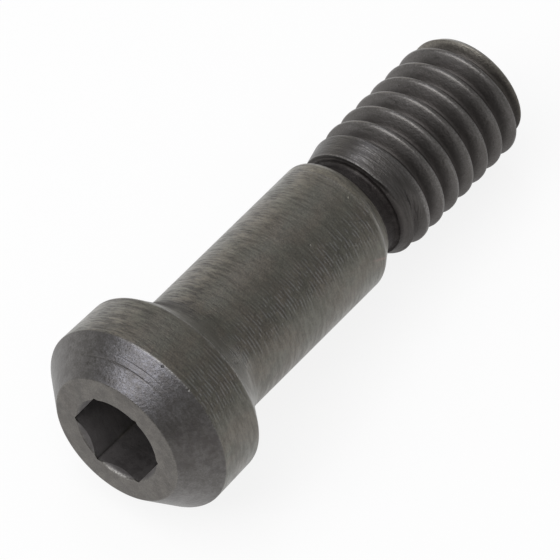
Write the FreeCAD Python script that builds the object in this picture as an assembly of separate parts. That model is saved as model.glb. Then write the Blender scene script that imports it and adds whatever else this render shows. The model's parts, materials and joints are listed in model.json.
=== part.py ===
import FreeCAD, Part
import math
import os

from FreeCAD import Placement, Rotation, Vector

# A clamp screw, turned from one bar of steel: a head with a cone at each side and a hexagon
# socket, a plain shank, an undercut and a right-hand thread. Sizes are in millimetres, angles in
# degrees. It is drawn upright first, with its face at z = 0 and its point upwards, and then laid
# on its side.

# Head
head_diameter = 6.0  # at the rear rim
head_front_diameter = 6.08
head_length = 2.5  # from the face to the rear rim
face_diameter = 4.16
front_cone_angle = 45.0  # between the cone and the axis
underside_angle = 45.0
neck_radius = 1.1  # where the underside runs into the shank

# Hexagon socket in the face
socket_across_flats = 2.5
socket_depth = 2.2
socket_floor_angle = 118.0  # whole angle of the drill's point
socket_mouth_margin = 0.135  # from a flat out to the edge of the countersink
socket_mouth_angle = 90.0  # whole angle of the countersink

# Shank, with a chamfer at its end that was turned off centre
shank_diameter = 4.0
shank_length = 6.75  # with its chamfer
shank_end_radius = 1.8
shank_chamfer_angle = 31.0  # between the chamfer and the axis
shank_chamfer_offset = 0.165  # from the screw's axis

# Undercut, the narrow groove between shank and thread
undercut_width = 0.6
undercut_margin = 0.07  # from the thread's root in to the undercut's floor
undercut_corner = 0.1  # radius in its two corners

# Thread, with its symmetric flanks
thread_diameter = 3.95
thread_pitch = 0.7
thread_length = 5.65  # from the undercut to the end face
thread_crest_flat = 0.12
thread_root_flat = 0.12
thread_flank_angle = 30.0  # from a flank to a plane across the axis
thread_start = 0.4  # from the undercut to where the groove begins to sink in
thread_start_turn = -20.0  # angle round the axis at which it begins
thread_run_in = 130.0  # angle over which it sinks to its full depth

# Tapered land on which the thread begins, and chamfered point
land_length = 0.8
land_depth = 0.18
point_length = 0.35
point_depth = 0.2

# How it lies: a corner of the socket is this far round from the top
lying_roll = 25.3

steps_per_turn = 24
overlap = 0.05  # how far a cutter reaches out of the bar


def tan(angle):
    return math.tan(math.radians(angle))


# Stations along the axis, from the face
head_radius = head_diameter / 2
shank_radius = shank_diameter / 2
thread_radius = thread_diameter / 2
thread_depth = (thread_pitch - thread_crest_flat - thread_root_flat) / 2 / tan(thread_flank_angle)
root_radius = thread_radius - thread_depth

front_cone_end = (head_front_diameter - face_diameter) / 2 / tan(front_cone_angle)
shank_begin = head_length + (head_radius - shank_radius) / tan(underside_angle)
undercut_begin = shank_begin + shank_length
undercut_end = undercut_begin + undercut_width
screw_length = undercut_end + thread_length


def turned_bar():
    """The whole screw as one turned profile, before the socket and the thread are cut."""
    undercut_radius = root_radius - undercut_margin
    outline = [
        (0, 0),
        (face_diameter / 2, 0),
        (head_front_diameter / 2, front_cone_end),
        (head_radius, head_length),
        (shank_radius, shank_begin),
        (shank_radius, undercut_begin),
        (undercut_radius, undercut_begin),
        (undercut_radius, undercut_end),
        (thread_radius - land_depth, undercut_end),
        (thread_radius, undercut_end + land_length),
        (thread_radius, screw_length - point_length),
        (thread_radius - point_depth, screw_length),
        (0, screw_length),
    ]
    points = [Vector(radius, 0, station) for radius, station in outline]
    profile = Part.Face(Part.makePolygon(points + points[:1]))
    bar = profile.revolve(Vector(0, 0, 0), Vector(0, 0, 1), 360)
    bar = bar.makeFillet(undercut_corner, circles(bar, undercut_radius, undercut_begin)
                         + circles(bar, undercut_radius, undercut_end))
    return bar.makeFillet(neck_radius, circles(bar, shank_radius, shank_begin))


def circles(bar, radius, station):
    """The round edges of the bar that have a radius and lie at a station."""
    rounds = [edge for edge in bar.Edges if isinstance(edge.Curve, Part.Circle)]
    return [edge for edge in rounds if abs(edge.Curve.Radius - radius) < 1e-6
            and abs(edge.Curve.Center.z - station) < 1e-6]


def shank_chamfer():
    """What is cut off the shank's end: a ring with a cone inside, set to one side of the axis."""
    reach = 1.0
    begin = Vector(0, -shank_chamfer_offset, undercut_begin - reach)
    wide_radius = shank_end_radius + reach * tan(shank_chamfer_angle)
    cone = Part.makeCone(wide_radius, shank_end_radius, reach, begin)
    return Part.makeCylinder(head_radius, reach, begin).cut(cone)


def hexagon_socket():
    """What is cut out of the face: a hexagon, the drill's cone below it and the countersink."""
    corner_radius = socket_across_flats / 2 / math.cos(math.radians(30))
    turns = [math.radians(60 * corner) for corner in range(7)]
    corners = [Vector(corner_radius * math.cos(turn), corner_radius * math.sin(turn), -overlap)
               for turn in turns]
    hexagon = Part.Face(Part.makePolygon(corners)).extrude(Vector(0, 0, socket_depth + overlap))

    drill_radius = socket_across_flats / 2
    drill_point = Part.makeCone(drill_radius, 0, drill_radius / tan(socket_floor_angle / 2),
                                Vector(0, 0, socket_depth))

    mouth_radius = drill_radius + socket_mouth_margin + overlap * tan(socket_mouth_angle / 2)
    countersink = Part.makeCone(mouth_radius, 0, mouth_radius / tan(socket_mouth_angle / 2),
                                Vector(0, 0, -overlap))
    return hexagon.fuse([drill_point, countersink])


def groove_turn(turn):
    """One turn of the helical groove: four helices joined by ruled faces, closed at both ends."""
    rise = thread_crest_flat / 4 / tan(thread_flank_angle)
    half_root = thread_root_flat / 2
    half_mouth = half_root + (thread_depth + rise) * tan(thread_flank_angle)
    section = [
        (0, -half_root),
        (thread_depth + rise, -half_mouth),
        (thread_depth + rise, half_mouth),
        (0, half_root),
    ]
    helices = [helix(height, offset, turn) for height, offset in section]
    neighbours = list(zip(helices, helices[1:] + helices[:1]))
    walls = [Part.makeRuledSurface(first, second) for first, second in neighbours]
    starts = [edge.valueAt(edge.FirstParameter) for edge in helices]
    finishes = [edge.valueAt(edge.LastParameter) for edge in helices]
    ends = [Part.Face(Part.makePolygon(corners + corners[:1])) for corners in (starts, finishes)]
    shell = Part.Shell(walls + ends)
    shell.sewShape()
    groove = Part.Solid(shell)
    if groove.Volume < 0:
        groove.reverse()
    return groove


def helix(height, offset, turn):
    """One edge of the groove: a corner of its section, carried once round the axis."""
    lift = thread_depth + overlap
    points = []
    for step in range(steps_per_turn + 1):
        turned = 360 * (turn + step / steps_per_turn)
        sunk = math.sin(math.radians(90 * min(turned / thread_run_in, 1)))
        radius = root_radius + height + lift * (1 - sunk)
        station = undercut_end + thread_start + offset + thread_pitch * turned / 360
        angle = math.radians(thread_start_turn + turned)
        points.append(Vector(radius * math.cos(angle), radius * math.sin(angle), station))
    curve = Part.BSplineCurve()
    curve.interpolate(points)
    return curve.toShape()


def threaded(bar):
    """Cuts the groove turn by turn, from its start on the land until it has left the point."""
    travel = screw_length + thread_pitch - undercut_end - thread_start
    for turn in range(math.ceil(travel / thread_pitch)):
        bar = bar.cut(groove_turn(turn))
    return bar


def lay_down(screw):
    """Turns the upright screw to where it rests: on its rear rim and on the thread's last crest."""
    last_crest = screw_length - point_length
    tilt = math.atan2(head_radius - thread_radius, last_crest - head_length)
    along = Vector(math.cos(tilt), 0, -math.sin(tilt))
    top = Vector(math.sin(tilt), 0, math.cos(tilt))
    side = along.cross(top)
    roll = math.radians(lying_roll)
    corner = top * math.cos(roll) + side * math.sin(roll)
    turn = Rotation(corner, along.cross(corner), along, "ZXY")

    low_end = -face_diameter / 2 * math.sin(tilt)
    high_end = screw_length * math.cos(tilt) + (thread_radius - point_depth) * math.sin(tilt)
    axis_height = head_length * math.sin(tilt) + head_radius * math.cos(tilt)
    laid = screw.copy()
    laid.Placement = Placement(Vector(-(low_end + high_end) / 2, 0, axis_height), turn)
    return laid


def clamp_screw():
    bar = turned_bar().cut([hexagon_socket(), shank_chamfer()])
    return lay_down(threaded(bar).Solids[0])


os.makedirs("parts", exist_ok=True)
shape = clamp_screw()
shape.exportStep("parts/clamp_screw.step")
print("clamp_screw valid", shape.isValid(), "volume", round(shape.Volume, 3),
      "box", [round(value, 3) for value in (shape.BoundBox.XMin, shape.BoundBox.XMax,
                                            shape.BoundBox.YMin, shape.BoundBox.YMax,
                                            shape.BoundBox.ZMin, shape.BoundBox.ZMax)])
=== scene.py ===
"""A clamp screw of blackened steel, lying on a pale floor as it comes to rest.

The screw is modelled upright in millimetres, with its face at height 0 and its point upwards, and
is laid in the frame at the end. Angles round its axis start at a corner of its socket.
"""
import json
import math
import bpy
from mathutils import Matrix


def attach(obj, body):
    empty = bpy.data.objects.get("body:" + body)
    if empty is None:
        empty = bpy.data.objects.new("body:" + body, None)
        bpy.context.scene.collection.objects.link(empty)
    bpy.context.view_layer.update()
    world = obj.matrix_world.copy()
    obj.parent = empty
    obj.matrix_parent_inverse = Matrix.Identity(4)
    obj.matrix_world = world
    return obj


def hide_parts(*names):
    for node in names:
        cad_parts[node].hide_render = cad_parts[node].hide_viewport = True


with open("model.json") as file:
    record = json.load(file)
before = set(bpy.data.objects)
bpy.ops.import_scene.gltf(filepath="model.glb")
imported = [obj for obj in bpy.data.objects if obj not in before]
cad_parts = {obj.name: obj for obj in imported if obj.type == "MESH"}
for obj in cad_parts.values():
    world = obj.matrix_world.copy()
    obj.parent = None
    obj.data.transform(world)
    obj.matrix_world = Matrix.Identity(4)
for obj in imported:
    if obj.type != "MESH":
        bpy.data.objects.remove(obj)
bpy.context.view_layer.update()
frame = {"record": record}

from types import SimpleNamespace

import bpy
from mathutils import Matrix, Vector

MM = 0.001
COLUMNS = 270  # vertices in each ring of the screw
EDGE_ANGLE = 28  # from which an edge stays sharp

# Head, from the face backwards
FACE_RADIUS = 2.08
HEAD_FRONT_RADIUS = 3.037
FRONT_CONE_END = 0.96
HEAD_RADIUS = 3.0
HEAD_END = 2.5
NECK = 3.5  # where the cone under the head meets the shank
NECK_CUT = 0.455  # how far the rounding reaches to either side

# Hexagon socket
SOCKET_FLATS = 2.5
SOCKET_DEPTH = 2.2
SOCKET_MOUTH_RADIUS = 1.385
DRILL_POINT_ANGLE = 118

# Shank, with an end chamfer that is off centre, and undercut
SHANK_RADIUS = 2.0
SHANK_END = 10.25
CHAMFER_ZONE = 9.35  # below the chamfer's lowest point
CHAMFER_END_RADIUS = 1.8
CHAMFER_SLOPE = math.tan(math.radians(31))
CHAMFER_OFFSET = 0.165  # from the screw's axis
UNDERCUT_RADIUS = 1.507
UNDERCUT_END = 10.85
WALL_FOOT = UNDERCUT_RADIUS + 0.13  # where its far wall begins

# The far wall leans back on one side
UNDERCUT_WIDENING = 0.3  # at most
LEAN_TURN = 5  # degrees before the corner at which the lean begins
LEAN_REACH = 0.35  # height over which it fades out

# Thread
SCREW_END = 16.498
THREAD_RADIUS = 1.975
PITCH = 0.7
CREST_FLAT = 0.12
ROOT_FLAT = 0.12
FLANK_SLOPE = 1 / math.tan(math.radians(30))
THREAD_DEPTH = (PITCH - CREST_FLAT - ROOT_FLAT) / 2 * FLANK_SLOPE
THREAD_START = UNDERCUT_END + 0.4
THREAD_START_TURN = -20
THREAD_RUN_IN = 100  # degrees over which the groove sinks in
THREAD_OFFSET = 0.05  # of the point from the screw's axis
CREST_ROUNDING = 0.07
ROOT_ROUNDING = 0.06
CUTTER_CLEARANCE = 0.05
LAND_LENGTH = 0.8
LAND_DEPTH = 0.18
LAND_FOOT = THREAD_RADIUS - LAND_DEPTH
POINT_LENGTH = 0.35
POINT_DEPTH = 0.2

# How it lies: a corner of the socket is this far round from the top
LYING_ROLL = 25.3


def laying_matrix():
    """From the upright screw, in millimetres, to where it lies, in metres."""
    mount = next(mount for mount in frame["record"]["mounts"] if mount["name"] == "hexagon_socket")
    along = -Vector(mount["axis"]).normalized()
    top = (Vector((0, 0, 1)) - along * along.z).normalized()
    roll = math.radians(LYING_ROLL)
    corner = top * math.cos(roll) + along.cross(top) * math.sin(roll)
    turn = Matrix((corner, along.cross(corner), along)).transposed().to_4x4()
    return Matrix.Translation(mount["pos_m"]) @ turn @ Matrix.Scale(MM, 4)


LAID = laying_matrix()


def edit(piece):
    """Goes into edit mode on one piece, with nothing of it selected."""
    bpy.ops.object.mode_set(mode="OBJECT")
    bpy.ops.object.select_all(action="DESELECT")
    piece.select_set(True)
    bpy.context.view_layer.objects.active = piece
    bpy.ops.object.mode_set(mode="EDIT")
    bpy.ops.mesh.select_mode(type="VERT")
    bpy.ops.mesh.select_all(action="DESELECT")


def choose(piece, parts, passes):
    """Selects those vertices or edges of a piece that pass a test, in edit mode."""
    edit(piece)
    bpy.ops.object.mode_set(mode="OBJECT")
    for part in getattr(piece.data, parts):
        part.select = passes(part)
    bpy.ops.object.mode_set(mode="EDIT")
    if parts == "edges":
        bpy.ops.mesh.select_mode(type="EDGE")


def chain(name, outline):
    """A chain of edges through (radius, height, cut) points, each corner rounded over its cut."""
    bpy.ops.object.select_all(action="DESELECT")
    bpy.ops.mesh.primitive_plane_add(size=1)
    piece = bpy.context.object
    piece.name = name
    bpy.ops.object.mode_set(mode="EDIT")
    bpy.ops.mesh.merge(type="CENTER")
    points = [Vector((radius, 0, height)) for radius, height, cut in outline]
    bpy.ops.transform.translate(value=points[0])
    for before, after in zip(points, points[1:]):
        bpy.ops.mesh.extrude_vertices_move(TRANSFORM_OT_translate={"value": after - before})
    for point, (radius, height, cut) in zip(points, outline):
        if cut:
            choose(piece, "vertices", lambda vertex: (vertex.co - point).length < 1e-4)
            bpy.ops.mesh.bevel(offset=cut, segments=6, affect="VERTICES")
    return piece


def divide(piece, low, high, spacing):
    """Halves the chain's edges between two heights until none is longer than the spacing."""

    def is_long(edge):
        first, last = (points[end].co for end in edge.vertices)
        inside = low < min(first.z, last.z) and max(first.z, last.z) < high
        return inside and (last - first).length > spacing

    for halving in range(6):
        bpy.ops.object.mode_set(mode="OBJECT")
        points = piece.data.vertices
        if any(is_long(edge) for edge in piece.data.edges):
            choose(piece, "edges", is_long)
            bpy.ops.mesh.subdivide(number_cuts=1)


def smooth_min(first, second, blend):
    """The lower of two values, with a rounded corner where they cross."""
    share = min(1, max(0, 0.5 + 0.5 * (second - first) / blend))
    return second + (first - second) * share - blend * share * (1 - share)


def chamfer_drop(turn, height):
    """How far the shank's chamfered end lies inside the plain shank."""
    centred = CHAMFER_END_RADIUS + CHAMFER_SLOPE * (SHANK_END - height)
    return SHANK_RADIUS - smooth_min(SHANK_RADIUS, centred - CHAMFER_OFFSET * math.sin(turn), 0.05)


def turned_body():
    """Head, shank and undercut: one outline, spun round the axis, with the shank's end cut back."""
    piece = chain("screw_body", [
        (0, 0, 0),
        (FACE_RADIUS, 0, 0.03),
        (HEAD_FRONT_RADIUS, FRONT_CONE_END, 0.03),
        (HEAD_RADIUS, HEAD_END, 0.04),
        (SHANK_RADIUS, NECK, NECK_CUT),
        (SHANK_RADIUS, CHAMFER_ZONE, 0),
        (SHANK_RADIUS, SHANK_END, 0.03),
        (UNDERCUT_RADIUS, SHANK_END, 0.1),
        (UNDERCUT_RADIUS, UNDERCUT_END, 0.1),
        (WALL_FOOT, UNDERCUT_END, 0),
    ])
    margin = 0.005
    divide(piece, margin, SHANK_END - margin, 0.2)
    divide(piece, CHAMFER_ZONE - margin, SHANK_END - margin, 0.05)
    edit(piece)
    bpy.ops.mesh.select_all(action="SELECT")
    bpy.ops.mesh.spin(steps=COLUMNS, angle=math.tau, center=(0, 0, 0), axis=(0, 0, 1))
    bpy.ops.mesh.select_all(action="SELECT")
    bpy.ops.mesh.remove_doubles(threshold=0.001)
    bpy.ops.object.mode_set(mode="OBJECT")
    for vertex in piece.data.vertices:
        radius = vertex.co.xy.length
        outside = radius > SHANK_RADIUS - 0.1
        if outside and CHAMFER_ZONE < vertex.co.z <= SHANK_END + 1e-4:
            drop = chamfer_drop(math.atan2(vertex.co.y, vertex.co.x), vertex.co.z)
            vertex.co.xy *= (radius - drop) / radius
    return piece


def envelope(height):
    """Radius of the threaded end before its groove is cut: tapered land, cylinder, point."""
    land = THREAD_RADIUS - LAND_DEPTH * (1 - (height - UNDERCUT_END) / LAND_LENGTH)
    point = THREAD_RADIUS - POINT_DEPTH * (1 - (SCREW_END - height) / POINT_LENGTH)
    return smooth_min(THREAD_RADIUS, min(land, point), 0.03)


def thread_radius(turn, height):
    """Radius of the threaded end at a turn in degrees and a height."""
    travelled = (height - THREAD_START) / PITCH * 360
    turned = turn - THREAD_START_TURN
    turned += 360 * round((travelled - turned) / 360)
    off_centre = abs(height - THREAD_START - PITCH * turned / 360)
    sunk = 0.5 - 0.5 * math.cos(math.pi * min(1, max(0, turned / THREAD_RUN_IN)))
    lift = (THREAD_DEPTH + CUTTER_CLEARANCE) * (1 - sunk)
    rise = -smooth_min(0, ROOT_FLAT / 2 - off_centre, ROOT_ROUNDING) * FLANK_SLOPE
    groove = THREAD_RADIUS - THREAD_DEPTH + lift + rise
    return smooth_min(envelope(height), groove, CREST_ROUNDING)


def widening(turn):
    """How far the undercut's far wall leans back where the thread runs into it."""
    return UNDERCUT_WIDENING * max(0, math.sin(math.radians(turn + LEAN_TURN)))


def threaded_end():
    """The thread: one pitch of rows carried up a screw, cut level at both ends and then shaped."""
    half = [0.03, 0.06, 0.09, 0.13, 0.17, 0.21, 0.24, 0.265, 0.285, 0.30, 0.32, PITCH / 2]
    rows = [-row for row in reversed(half)] + [0] + half
    begin = THREAD_START - PITCH * THREAD_START_TURN / 360 - 2 * PITCH
    piece = chain("screw_thread", [(THREAD_RADIUS, begin + row, 0) for row in rows])
    bpy.ops.object.mode_set(mode="OBJECT")
    screw = piece.modifiers.new("thread", "SCREW")
    screw.axis = "Z"
    screw.steps = COLUMNS
    screw.render_steps = COLUMNS
    screw.screw_offset = PITCH
    screw.iterations = math.ceil((SCREW_END - begin) / PITCH) + 1
    bpy.ops.object.modifier_apply(modifier=screw.name)
    edit(piece)
    bpy.ops.mesh.select_all(action="SELECT")
    bpy.ops.mesh.remove_doubles(threshold=0.001)
    for level, inner, outer in ((UNDERCUT_END, True, False), (SCREW_END, False, True)):
        bpy.ops.mesh.select_all(action="SELECT")
        bpy.ops.mesh.bisect(plane_co=(0, 0, level), plane_no=(0, 0, 1),
                            clear_inner=inner, clear_outer=outer)
    bpy.ops.mesh.select_all(action="SELECT")
    bpy.ops.mesh.remove_doubles(threshold=0.001)
    bpy.ops.object.mode_set(mode="OBJECT")
    for vertex in piece.data.vertices:
        angle = math.atan2(vertex.co.y, vertex.co.x)
        radius = thread_radius(math.degrees(angle), vertex.co.z)
        lean = max(0, 1 - (vertex.co.z - UNDERCUT_END) / LEAN_REACH)
        off_axis = THREAD_OFFSET * (vertex.co.z - UNDERCUT_END) / (SCREW_END - UNDERCUT_END)
        vertex.co.x = radius * math.cos(angle)
        vertex.co.y = radius * math.sin(angle) - off_axis
        vertex.co.z += lean * widening(math.degrees(angle))
    return piece


def choose_rim(piece, low, high):
    """Selects the open edges that lie between two heights."""
    edit(piece)
    bpy.ops.mesh.select_mode(type="EDGE")
    bpy.ops.mesh.select_non_manifold()
    bpy.ops.object.mode_set(mode="OBJECT")
    points = piece.data.vertices
    rim = {edge.index for edge in piece.data.edges
           if edge.select and all(low < points[end].co.z < high for end in edge.vertices)}
    choose(piece, "edges", lambda edge: edge.index in rim)


def cut_socket(piece):
    """Cuts the hexagon, the drill's point below it and the countersink out of the face."""
    reach = 0.5
    overlap = 0.02
    drill_radius = SOCKET_FLATS / 2 - 0.001
    hexagon_radius = SOCKET_FLATS / 2 / math.cos(math.radians(30))
    point_depth = SOCKET_FLATS / 2 / math.tan(math.radians(DRILL_POINT_ANGLE / 2))
    wide_radius = SOCKET_MOUTH_RADIUS + reach
    bpy.ops.object.mode_set(mode="OBJECT")
    bpy.ops.mesh.primitive_cylinder_add(vertices=6, radius=hexagon_radius,
                                        depth=SOCKET_DEPTH + reach,
                                        location=(0, 0, (SOCKET_DEPTH - reach) / 2),
                                        rotation=(0, 0, math.radians(30)))
    cutters = [bpy.context.object]
    bpy.ops.mesh.primitive_cone_add(vertices=90, radius1=drill_radius, radius2=0,
                                    depth=point_depth + overlap,
                                    location=(0, 0, SOCKET_DEPTH + (point_depth - overlap) / 2))
    cutters.append(bpy.context.object)
    bpy.ops.mesh.primitive_cone_add(vertices=COLUMNS, radius1=wide_radius, radius2=0,
                                    depth=wide_radius, location=(0, 0, wide_radius / 2 - reach))
    cutters.append(bpy.context.object)
    for cutter in cutters:
        bpy.ops.object.select_all(action="DESELECT")
        piece.select_set(True)
        bpy.context.view_layer.objects.active = piece
        cut = piece.modifiers.new("socket", "BOOLEAN")
        cut.operation = "DIFFERENCE"
        cut.solver = "EXACT"
        cut.object = cutter
        bpy.ops.object.modifier_apply(modifier=cut.name)
        bpy.data.objects.remove(cutter)


def clamp_screw():
    """Joins body and thread, closes the undercut's wall and the point, and lays the screw down."""
    piece = turned_body()
    thread = threaded_end()
    bpy.ops.object.select_all(action="DESELECT")
    thread.select_set(True)
    piece.select_set(True)
    bpy.context.view_layer.objects.active = piece
    bpy.ops.object.join()
    piece.name = "blackened_screw"
    choose_rim(piece, UNDERCUT_END - 0.01, UNDERCUT_END + 0.3)
    bpy.ops.mesh.bridge_edge_loops()
    choose_rim(piece, SCREW_END - 0.01, SCREW_END + 0.01)
    bpy.ops.mesh.edge_face_add()
    bpy.ops.mesh.select_all(action="SELECT")
    bpy.ops.mesh.normals_make_consistent(inside=False)
    cut_socket(piece)
    piece.data.transform(LAID)
    bpy.ops.object.select_all(action="DESELECT")
    piece.select_set(True)
    bpy.context.view_layer.objects.active = piece
    bpy.ops.object.shade_smooth_by_angle(angle=math.radians(EDGE_ANGLE))
    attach(piece, "root")
    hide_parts("clamp_screw")
    return piece


class Shade:
    """A value in a material that plain arithmetic joins to numbers and other values."""

    def __init__(self, material, socket):
        self.material = material
        self.socket = socket

    def maths(self, operation, *others):
        values = dict(enumerate((self, *others)))
        return self.material.add("Math", {"operation": operation}, values)

    def __add__(self, other):
        return self.maths("ADD", other)

    def __sub__(self, other):
        return self.maths("SUBTRACT", other)

    def __rsub__(self, other):
        return (self * -1) + other

    def __mul__(self, other):
        return self.maths("MULTIPLY", other)

    __radd__ = __add__
    __rmul__ = __mul__

    def sine(self):
        return self.maths("SINE")

    def root(self):
        return self.maths("SQRT")

    def size(self):
        return self.maths("ABSOLUTE")

    def at_most(self, other):
        return self.maths("MINIMUM", other)

    def at_least(self, other):
        return self.maths("MAXIMUM", other)

    def ramp(self, start, stop, low=0.0, high=1.0):
        """Goes smoothly from low to high while the value goes from start to stop."""
        settings = {"interpolation_type": "SMOOTHSTEP"}
        inputs = {"Value": self, "From Min": start, "From Max": stop, "To Min": low, "To Max": high}
        return self.material.add("MapRange", settings, inputs)

    def near(self, centre, reach):
        """1 at the centre, falling smoothly to 0 at the reach on either side."""
        return (self - centre).size().ramp(0.0, reach, 1.0, 0.0)


class Material:
    """A material and the nodes in it."""

    def __init__(self, name):
        self.data = bpy.data.materials.new(name)
        self.data.use_nodes = True
        self.nodes = self.data.node_tree.nodes
        self.shader = self.nodes["Principled BSDF"]

    def join(self, socket, value):
        """Links a value to a socket, or writes a constant on it."""
        if isinstance(value, Shade):
            self.data.node_tree.links.new(value.socket, socket)
        else:
            socket.default_value = value

    def add(self, kind, settings=None, inputs=None, output=0):
        node = self.nodes.new("ShaderNode" + kind)
        for name, value in (settings or {}).items():
            setattr(node, name, value)
        for name, value in (inputs or {}).items():
            self.join(node.inputs[name], value)
        return Shade(self, node.outputs[output])

    def mix(self, factor, first, second):
        """A colour between two others."""
        inputs = {"Factor": factor, 6: first, 7: second}
        return self.add("Mix", {"data_type": "RGBA"}, inputs, output=2)

    def noise(self, vector, scale, detail=2.0, roughness=0.5):
        inputs = {"Vector": vector, "Scale": scale, "Detail": detail, "Roughness": roughness}
        return self.add("TexNoise", {}, inputs)

    def stretched(self, vector, around, along):
        """Upright coordinates, with the pattern's size set apart round the axis and along it."""
        inputs = {0: vector, 1: (around, around, along)}
        return self.add("VectorMath", {"operation": "MULTIPLY"}, inputs)


def upright_coordinates(material):
    """Object coordinates, carried back to the upright screw in millimetres."""
    back = LAID.inverted()
    place = material.add("TexCoord", output="Object")
    inputs = {"Vector": place, "Location": back.to_translation(), "Rotation": back.to_euler(),
              "Scale": back.to_scale()}
    return material.add("Mapping", {"vector_type": "POINT"}, inputs)


# Turning lines on head and shank
LINE_SPACING = 0.108

# Nicks and pits: turn from a socket corner, height, distance from the axis, size and depth
NICKS = [
    (-9, 9.61, 2.0, 0.07, 1.0),
    (-3, 7.63, 2.0, 0.06, 0.8),
    (24.5, 8.79, 2.0, 0.06, 0.8),
    (19, 3.14, 2.38, 0.08, 0.8),
    (-10.5, 0.92, 3.0, 0.06, 1.0),
    (7.5, 0.95, 3.03, 0.06, 0.4),
    (72, 10.15, 1.84, 0.08, 1.0),
    (8, 10.75, 1.58, 0.09, 1.0),
    (16, 10.72, 1.56, 0.08, 1.0),
]

# Colours of the steel, as linear red, green, blue and an alpha of 1
BROWN = (0.178, 0.159, 0.128, 1)
OLIVE = (0.155, 0.151, 0.122, 1)
CONE_GREY = (0.178, 0.171, 0.167, 1)
# Painted highlight tint: the front cone turns this violet round turn -18, where its highlight falls
CONE_HIGHLIGHT_VIOLET = (0.174, 0.172, 0.192, 1)
# Mottled stains on the front cone, and painted shade on its side round turn 36
CONE_STAIN_AND_SHADE = (0.085, 0.078, 0.078, 1)
FACE_GREY = (0.176, 0.164, 0.154, 1)
THREAD_GREY = (0.149, 0.140, 0.139, 1)
SOCKET_GREY = (0.125, 0.116, 0.116, 1)
NECK_TAN = (0.22, 0.21, 0.18, 1)
CHAMFER_TAN = (0.24, 0.219, 0.170, 1)
# Painted reflection: the point's chamfer is coloured lighter, as if it mirrored something light
POINT_REFLECTION_TAN = (0.27, 0.25, 0.215, 1)
SCRATCH_TAN = (0.26, 0.18, 0.16, 1)
# Painted glints: bluish-white along the turning lines near turn 16
PAINTED_GLINT = (0.33, 0.33, 0.35, 1)
# Bare steel on rubbed edges, and painted highlights on edges, countersink and land
BARE_STEEL_AND_HIGHLIGHT = (0.36, 0.35, 0.34, 1)
GRAIN_DARK = (0.09, 0.085, 0.077, 1)
# Dark flaw marks, and painted shade in the crescent on the neck under the head
FLAW_AND_SHADE_DARK = (0.07, 0.064, 0.058, 1)
GROOVE_DARK = (0.06, 0.055, 0.05, 1)
LAND_DARK = (0.06, 0.056, 0.055, 1)
# Painted shade: the thread's roots, and its lower side from turn 40 on
ROOT_SHADE = (0.064, 0.057, 0.054, 1)
# Painted shade in the undercut groove, mottled
UNDERCUT_SHADE = (0.034, 0.029, 0.028, 1)
# Painted shade in the socket
SOCKET_SHADE = (0.035, 0.031, 0.031, 1)


def places(steel):
    """Where a point is on the upright screw: coordinates, height, radius and turn in degrees."""
    point = upright_coordinates(steel)
    axes = steel.add("SeparateXYZ", {}, {0: point}).socket.node.outputs
    across, sideways, height = (Shade(steel, axes[axis]) for axis in "XYZ")
    radius = (across * across + sideways * sideways).root()
    turn = sideways.maths("ARCTAN2", across) * math.degrees(1)
    return SimpleNamespace(point=point, across=across, sideways=sideways, height=height,
                           radius=radius, turn=turn)


def zones(at):
    """The parts of the screw: each value is 1 on its part and 0 elsewhere."""
    cone = at.height.ramp(FRONT_CONE_END + 0.04, FRONT_CONE_END - 0.02)
    thread = at.height.ramp(SHANK_END + 0.05, SHANK_END + 0.25)
    undercut = at.height.ramp(SHANK_END + 0.01, SHANK_END + 0.03)
    undercut = undercut * at.height.ramp(UNDERCUT_END + 0.4, UNDERCUT_END + 0.2)
    land = at.height.ramp(UNDERCUT_END - 0.01, UNDERCUT_END + 0.01)
    land = land * at.height.ramp(UNDERCUT_END + 0.9, UNDERCUT_END + 0.75)
    mouth = at.radius.ramp(SOCKET_MOUTH_RADIUS + 0.075, SOCKET_MOUTH_RADIUS + 0.015)
    return SimpleNamespace(
        socket=mouth * at.height.ramp(0.0, 0.1),
        face=at.height.ramp(0.03, 0.005),
        cone=cone,
        neck=at.height.ramp(HEAD_END, HEAD_END + 0.1) * at.height.ramp(NECK + 0.2, NECK - 0.6),
        shank=(1 - cone) * (1 - thread),
        chamfer=at.height.ramp(SHANK_END - 0.5, SHANK_END - 0.4) * (1 - thread),
        undercut=undercut * at.radius.ramp(LAND_FOOT - 0.075, LAND_FOOT - 0.175),
        land=land * at.radius.ramp(LAND_FOOT - 0.075, LAND_FOOT - 0.035),
        thread=thread,
        root=thread * at.radius.ramp(THREAD_RADIUS - 0.075, THREAD_RADIUS - 0.375),
        point=at.height.ramp(SCREW_END - 0.378, SCREW_END - 0.298),
    )


def patterns(steel, point):
    """Noise in the finish: grain, speckle, and marks that are drawn out round the axis."""

    def drawn(around, along, detail=2.0, roughness=0.5):
        return steel.noise(steel.stretched(point, around, along), 1.0, detail, roughness)

    return SimpleNamespace(
        grain=steel.noise(point, 20.0, 3.0, 0.7),
        speckle=steel.noise(point, 8.0, 3.0, 0.6),
        mottle=steel.noise(point, 3.0, 6.0, 0.7),
        blotches=drawn(1.3, 1.0, 4.0, 0.6),
        bands=drawn(1.8, 9.0, 4.0, 0.65),
        streaks=drawn(2.6, 14.0, 2.0, 0.6),
        patches=drawn(0.9, 0.5),
        drift=drawn(1.3, 1.6),
        breaks=drawn(4.5, 6.0),
        scores=drawn(1.5, 24.0),
    )


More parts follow.
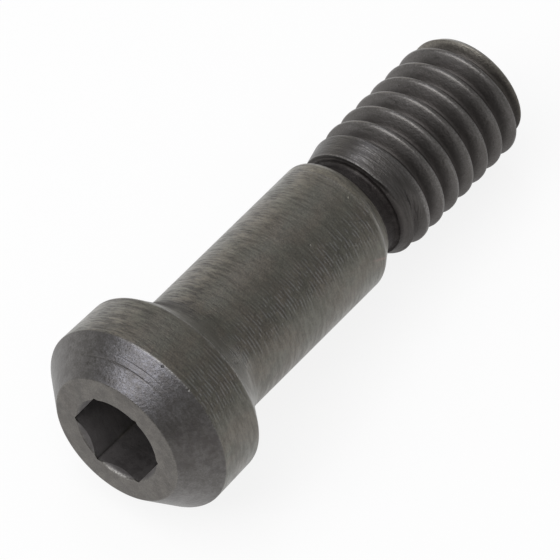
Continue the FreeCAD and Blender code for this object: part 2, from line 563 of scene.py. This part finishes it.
def turning_marks_and_glints(at, on, pattern):
    """The lines that a cutting tool left round head and shank, where it tore the steel, and painted
    glints along its lines near turn 16.
    """
    lines = (at.height * (math.tau / LINE_SPACING) + pattern.drift * 8.0).sine()
    lines = lines * pattern.breaks.ramp(0.38, 0.58)
    ripples = at.turn.near(-57, 36)
    fine = at.turn.near(16, 26)
    strength = fine * 2.0 + ripples * 1.6 + pattern.patches * 0.15 + 0.03
    strength = strength * (on.shank * 0.75 + 0.25) * at.height.ramp(2.4, 2.7, 0.8, 1.0)
    torn = at.turn.near(-52, 48) * at.height.ramp(6.0, 3.4) * at.height.ramp(2.4, 3.2, 0.35, 1.0)
    grooves = lines.ramp(-0.1, -0.8) * (ripples * 0.5 + fine * 0.35 + 0.03) * on.shank
    hollows = pattern.bands.ramp(0.52, 0.36) * ripples * on.shank * 0.55
    return SimpleNamespace(
        fine=fine,
        relief=lines * strength * 1.2 + (pattern.bands + pattern.streaks) * (strength * 0.6 + 0.3),
        tears=pattern.bands.ramp(0.5, 0.4) * torn * on.shank,
        dark=(grooves + hollows).at_most(1),
        # painted glints: the turning lines round turn 16, where they catch the light
        bright=lines.ramp(0.2, 0.9) * fine * on.shank,
    )


def handling_marks_and_shade(steel, at):
    """Nicks, two grooves round the front cone, a scratch by the end chamfer, and a matt crescent on
    the neck that is partly painted shade.
    """
    grooves = at.height.near(0.475, 0.03) * at.turn.near(-35, 35)
    grooves = grooves + at.height.near(0.62, 0.02) * at.turn.near(-25, 25) * 0.5
    nicks = 0.0
    for turn, height, distance, size, depth in NICKS:
        angle = math.radians(turn)
        place = (distance * math.cos(angle), distance * math.sin(angle), height)
        away = steel.add("VectorMath", {"operation": "DISTANCE"}, {0: at.point, 1: place}, "Value")
        nicks = away.ramp(0.0, size, depth, 0.0) + nicks
    return SimpleNamespace(
        nicks=nicks,
        grooves=grooves,
        scratch=(at.height * -16.0 + at.turn + 99.8).near(0.0, 2.2) * at.height.near(9.53, 0.52),
        # matt, ragged crescent on the neck under the head, also darkened as painted shade
        dull_and_shade=at.height.near(3.25, 0.6) * at.turn.near(-56, 36),
    )


def wear_and_highlights(at, on, pattern):
    """Edges and crests on which the black has rubbed off, with painted highlights along the lit
    side of some edges, on the countersink and on the land, broken up by the grain.
    """
    # rubbed front edge, kept to the lit side round turn -5: wear and a painted highlight
    front_edge = at.height.near(FRONT_CONE_END + 0.005, 0.045) * at.turn.near(-5, 60)
    front_edge = front_edge * at.radius.ramp(HEAD_RADIUS - 0.03, HEAD_RADIUS + 0.02)
    front_edge = front_edge * pattern.breaks.ramp(0.35, 0.6)
    rear_rim = at.height.near(HEAD_END, 0.05)
    rear_rim = rear_rim * at.radius.ramp(HEAD_RADIUS - 0.07, HEAD_RADIUS - 0.03)
    face_edge = at.height.near(0.01, 0.05) * at.radius.near(FACE_RADIUS, 0.05)
    mouth = at.height.near(0.04, 0.08) * at.radius.near(SOCKET_MOUTH_RADIUS, 0.08)
    # painted glint on the countersink
    mouth_glint = mouth * at.sideways.ramp(0.2, 0.5) * at.across.ramp(-0.8, -1.1)
    chamfer_line = at.height.near(SHANK_END - 0.45, 0.07) * (1 - on.thread)
    # painted highlight along the shank's end, on its lit side round turn -45
    shank_rim = at.height.near(SHANK_END, 0.05) * at.turn.near(-45, 60)
    shank_rim = shank_rim * at.radius.ramp(SHANK_RADIUS - 0.4, SHANK_RADIUS - 0.35)
    lean = (at.turn * math.radians(1) + math.radians(LEAN_TURN)).sine().at_least(0)
    past_wall = at.height - lean * UNDERCUT_WIDENING
    # painted highlight along the land's edge, on its lit side round turn -35
    land_edge = past_wall.near(UNDERCUT_END + 0.02, 0.05) * at.turn.near(-35, 70)
    land_edge = land_edge * at.radius.ramp(LAND_FOOT - 0.075, LAND_FOOT - 0.035)
    crest = on.thread * at.radius.ramp(THREAD_RADIUS - 0.035, THREAD_RADIUS)
    crest = crest * at.turn.ramp(0, 40, 0.2, 0.5)
    # painted sheen: highlight streaks on the land round turn -27
    sheen = on.land * pattern.scores.ramp(0.5, 0.62) * at.turn.near(-27, 19) * 0.5
    edge_wear_and_highlights = (front_edge * 0.65 + rear_rim * 0.5 + face_edge * 0.15 + mouth * 0.2 + mouth_glint
            + chamfer_line * 0.3 + shank_rim + land_edge * 0.7 + crest + sheen)
    edge_wear_and_highlights = edge_wear_and_highlights * (pattern.grain.ramp(0.42, 0.62) * 0.8 + 0.2)
    return edge_wear_and_highlights.at_most(1)


def steel_colour(steel, at, on, pattern, marks, flaws_and_shade):
    """Colour from the brown ground up: each layer covers a share of those before it."""
    # painted highlight tint: the cone's colour turns violet round turn -18, where its highlight
    # falls
    cone = steel.mix(at.turn.near(-18, 45), CONE_GREY, CONE_HIGHLIGHT_VIOLET)
    # mottled stains, plus painted shade on the cone's side from turn -14 to 86
    stain_and_shade = pattern.mottle.ramp(0.4, 0.62) * 0.45 + at.turn.near(36, 50) * (1 - on.face) * 0.6
    pits = pattern.speckle.ramp(0.58, 0.72) * (on.cone * 0.15 + 0.35) * (1 - on.face * 0.6)
    # dark flaw marks, with painted shade in the neck's crescent
    spots_and_shade = (pattern.bands.ramp(0.4, 0.62, 0.3, 0.0) + pits + marks.tears * 0.9
             + flaws_and_shade.nicks * 0.6 + flaws_and_shade.grooves * 0.5 + flaws_and_shade.dull_and_shade * 1.2)
    # painted shade in the thread's roots and on its lower side from turn 40 on
    shaded = on.root * 0.8 + on.thread * at.turn.ramp(40, 95) * 0.4
    # painted shade on the socket's walls round turn 140, mottled
    socket_shade = at.turn.near(140, 75) * 0.75 + pattern.mottle.ramp(0.4, 0.65) * 0.25
    layers = [
        (pattern.blotches.ramp(0.38, 0.62), OLIVE),
        # cone colour, violet round turn -18 as a painted highlight tint
        (on.cone * (1 - on.face), cone),
        (on.face * 0.8, FACE_GREY),
        # stains and painted shade on the front cone
        (on.cone * stain_and_shade, CONE_STAIN_AND_SHADE),
        (on.thread * 0.9, THREAD_GREY),
        (on.land * (pattern.scores.ramp(0.6, 0.35) * 0.4 + 0.55), LAND_DARK),
        # painted reflection: the point coloured lighter all round
        (on.point * 0.9, POINT_REFLECTION_TAN),
        (on.neck * 0.8, NECK_TAN),
        (on.chamfer * 0.75, CHAMFER_TAN),
        (pattern.grain.ramp(0.58, 0.42) * 0.5, GRAIN_DARK),
        (marks.dark, GROOVE_DARK),
        # painted glints along the turning lines
        (marks.bright * 0.42, PAINTED_GLINT),
        (spots_and_shade.at_most(1), FLAW_AND_SHADE_DARK),
        (shaded.at_most(1), ROOT_SHADE),
        # painted shade in the undercut groove
        (on.undercut * pattern.mottle.ramp(0.45, 0.7, 0.9, 0.45), UNDERCUT_SHADE),
        (on.socket * 0.9, SOCKET_GREY),
        # painted shade on the socket's walls
        (on.socket * socket_shade, SOCKET_SHADE),
        (flaws_and_shade.scratch * 0.6, SCRATCH_TAN),
        # rubbed edges, and painted highlights
        (wear_and_highlights(at, on, pattern), BARE_STEEL_AND_HIGHLIGHT),
    ]
    colour = BROWN
    for share, layer in layers:
        colour = steel.mix(share, colour, layer)
    return colour


def blackened_steel():
    """Black oxide on turned steel under a film of oil: painted shade in its recesses, rubbed bare
    on its edges, with painted highlights.
    """
    steel = Material("blackened_steel")
    at = places(steel)
    on = zones(at)
    pattern = patterns(steel, at.point)
    marks = turning_marks_and_glints(at, on, pattern)
    flaws_and_shade = handling_marks_and_shade(steel, at)

    roughness = (pattern.grain * 0.25 + on.socket * 0.3 - on.cone * 0.1 + on.root * 0.15
                 - marks.fine * on.shank * 0.08 - on.thread * at.turn.ramp(45, 5) * 0.08
                 + flaws_and_shade.dull_and_shade * 0.25 + 0.34)
    oil = on.shank * (pattern.bands.ramp(0.3, 0.7) * 0.5 + 0.3)
    oil = oil + on.thread * at.turn.ramp(30, 0) * 0.2
    oil = oil * (1 - at.height.near(3.2, 1.1) * at.turn.ramp(20, 0))
    oil = oil * at.turn.ramp(25, 55, 1.0, 0.75)
    relief = marks.relief * 0.0035 - marks.tears * 0.025
    relief = relief + pattern.grain * (0.009 - on.cone * 0.004) + pattern.speckle * 0.010
    relief = relief + on.land * pattern.scores * 0.012 + on.undercut * pattern.mottle * 0.06
    relief = relief - flaws_and_shade.grooves * 0.02 - flaws_and_shade.nicks * 0.03
    finish = {
        "Base Color": steel_colour(steel, at, on, pattern, marks, flaws_and_shade),
        "Metallic": 0.9 - on.socket * 0.5 - on.neck * 0.1,
        "Roughness": roughness.at_least(0.25).at_most(0.7),
        "Coat Weight": oil,
        "Coat Roughness": 0.3,
        "Normal": steel.add("Bump", {}, {"Height": relief, "Distance": MM}),
    }
    for name, value in finish.items():
        steel.join(steel.shader.inputs[name], value)
    return steel.data


# Camera: its lens, its direction and the pixel that shows the centre of the screw's face
IMAGE_SIZE = 560
FOCAL_PIXELS = 7000
SENSOR_MM = 36
VIEW_ELEVATION = 53.284
VIEW_AZIMUTH = -142.857
FACE_PIXEL = (116.2, 440.6)
PIXELS_PER_MM = 36.68

# Studio: the surroundings' grey, and how much of the floor shows as plain white
SURROUNDINGS = (0.36, 0.36, 0.36, 1)
FLOOR_WHITENESS = 0.86

# Lamps: name, azimuth, elevation, distance, size, radiance and colour
LAMPS = [
    ("lamp_left", 160, 40, 0.25, 0.11, 2.8, (0.97, 0.98, 1.0)),
    ("lamp_above", 155, 66, 0.25, 0.22, 2.4, (1.0, 1.0, 1.0)),
    ("lamp_behind", 57, 6, 0.30, 0.16, 1.0, (1.0, 0.95, 0.84)),
    ("lamp_small", 55, 58, 0.25, 0.05, 6.0, (0.86, 0.88, 1.0)),
]


def camera():
    """The camera, placed so that the face's centre falls on its pixel."""
    elevation = math.radians(VIEW_ELEVATION)
    azimuth = math.radians(VIEW_AZIMUTH)
    level = math.cos(elevation)
    back = Vector((level * math.cos(azimuth), level * math.sin(azimuth), math.sin(elevation)))
    right = Vector((0, 0, 1)).cross(back).normalized()
    up = back.cross(right)
    across = (FACE_PIXEL[0] - IMAGE_SIZE / 2) / PIXELS_PER_MM * MM
    down = (FACE_PIXEL[1] - IMAGE_SIZE / 2) / PIXELS_PER_MM * MM
    distance = FOCAL_PIXELS / PIXELS_PER_MM * MM
    place = LAID.translation - right * across + up * down + back * distance
    data = bpy.data.cameras.new("camera")
    data.sensor_width = SENSOR_MM
    data.lens = FOCAL_PIXELS * SENSOR_MM / IMAGE_SIZE
    data.clip_start = 0.01
    data.clip_end = 10
    eye = bpy.data.objects.new("camera", data)
    eye.matrix_world = Matrix.Translation(place) @ Matrix((right, up, back)).transposed().to_4x4()
    bpy.context.scene.collection.objects.link(eye)
    bpy.context.scene.camera = eye


def soft_lamp(name, azimuth, elevation, distance, size, radiance, colour):
    """A square lamp that faces the screw; a radiance of 1 is that of a plain white surface."""
    data = bpy.data.lights.new(name, "AREA")
    data.size = size
    data.energy = radiance * math.pi * size * size
    data.color = colour
    lamp = bpy.data.objects.new(name, data)
    turn = math.radians(azimuth)
    tilt = math.radians(elevation)
    level = math.cos(tilt)
    away = Vector((level * math.cos(turn), level * math.sin(turn), math.sin(tilt)))
    lamp.location = away * distance
    lamp.rotation_euler = away.to_track_quat("Z", "Y").to_euler()
    bpy.context.scene.collection.objects.link(lamp)


def studio():
    """Pale floor, even grey surroundings and four soft lamps."""
    bpy.ops.object.select_all(action="DESELECT")
    bpy.ops.mesh.primitive_plane_add(size=2)
    floor = bpy.context.object
    floor.name = "floor"
    pale = Material("pale_floor")
    pale.join(pale.shader.inputs["Base Color"], (0.96, 0.96, 0.96, 1))
    pale.join(pale.shader.inputs["Roughness"], 0.9)
    pale.join(pale.shader.inputs["Specular IOR Level"], 0.0)
    path = pale.nodes.new("ShaderNodeLightPath")
    seen = Shade(pale, path.outputs["Is Camera Ray"])
    seen = seen.at_least(Shade(pale, path.outputs["Is Glossy Ray"]))
    seen = seen.at_least(Shade(pale, path.outputs["Is Transmission Ray"]))
    white = pale.add("Emission", {}, {"Color": (1, 1, 1, 1), "Strength": 1.0})
    lit = Shade(pale, pale.shader.outputs[0])
    surface = pale.add("MixShader", {}, {0: seen * FLOOR_WHITENESS, 1: lit, 2: white})
    pale.join(pale.nodes["Material Output"].inputs["Surface"], surface)
    floor.data.materials.append(pale.data)

    world = bpy.data.worlds.new("studio")
    world.use_nodes = True
    world.node_tree.nodes["Background"].inputs["Color"].default_value = SURROUNDINGS
    bpy.context.scene.world = world
    bpy.context.scene.view_settings.view_transform = "Standard"
    for lamp in LAMPS:
        soft_lamp(*lamp)


screw = clamp_screw()
screw.data.materials.clear()
screw.data.materials.append(blackened_steel())
camera()
studio()
